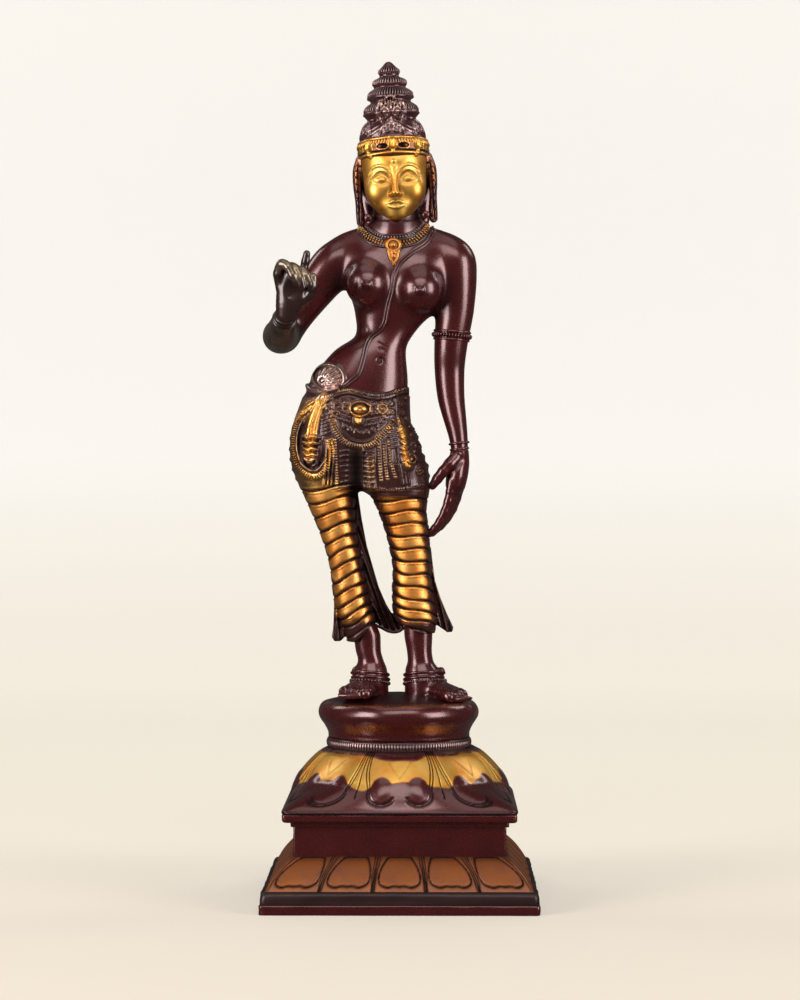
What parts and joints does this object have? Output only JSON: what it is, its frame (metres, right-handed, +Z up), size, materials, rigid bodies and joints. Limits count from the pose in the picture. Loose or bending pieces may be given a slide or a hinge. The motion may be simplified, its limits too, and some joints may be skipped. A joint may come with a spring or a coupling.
{
  "type": "parvati figure",
  "caption": "Standing goddess in the three-bend pose, cast with a round pad under her feet, on a square plinth with a lotus dome and petalled skirt.",
  "frame": {"origin": "centre of the plinth's square underside", "axes": "+Z up, the figure faces -Y, +X is to the viewer's right"},
  "size_m": [0.1484, 0.1484, 0.4598],
  "materials": {
    "figure_brass": "satin oxblood patina, rubbed bright on the face and cloth",
    "plinth_brass": "satin oxblood and amber patina, rubbed bright on the dome"
  },
  "bodies": {
    "root": {"goddess_figure": "figure_brass", "lotus_plinth": "plinth_brass"}
  },
  "joints": []
}
